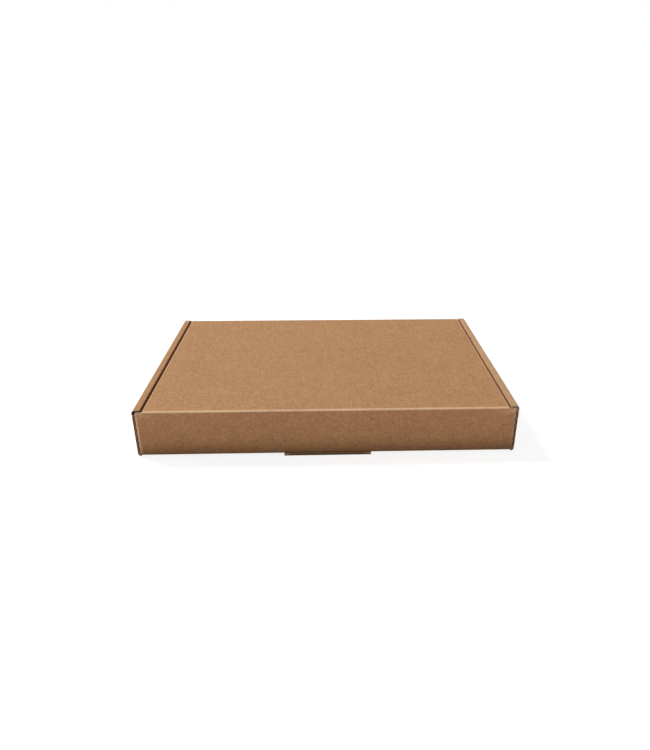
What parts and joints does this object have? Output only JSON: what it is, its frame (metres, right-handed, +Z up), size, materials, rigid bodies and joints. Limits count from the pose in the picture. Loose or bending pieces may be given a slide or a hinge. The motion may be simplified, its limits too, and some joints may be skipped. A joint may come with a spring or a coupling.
{
  "type": "letterbox mailer box",
  "caption": "Flat folded corrugated mailer box with rolled double sides, a hinged lid that lies between them, and a front flap that locks over a lip.",
  "frame": {"origin": "on the surface that the box stands on, under the middle of the closed box", "axes": "+X along the wide front towards the right side, +Y from the front flap towards the rear wall, +Z up"},
  "size_m": [0.17, 0.1166, 0.0228],
  "materials": {
    "kraft_board": "matt brown kraft liner on corrugated board, with open flutes at the cut edges"
  },
  "bodies": {
    "tray": {"tray": "kraft_board"},
    "lid": {"lid": "kraft_board"},
    "front_flap": {"front_flap": "kraft_board", "lock_tab": "kraft_board"}
  },
  "joints": [
    {"name": "lid_hinge", "type": "hinge", "parent": "tray", "child": "lid", "pos_m": [0, 0.05795, 0.02245], "axis": [-1, 0, 0], "range_deg": [0, 180], "deforming": ["lock_tab"]},
    {"name": "flap_hinge", "type": "hinge", "parent": "lid", "child": "front_flap", "pos_m": [0, -0.05795, 0.02245], "axis": [-1, 0, 0], "range_deg": [0, 180]}
  ]
}
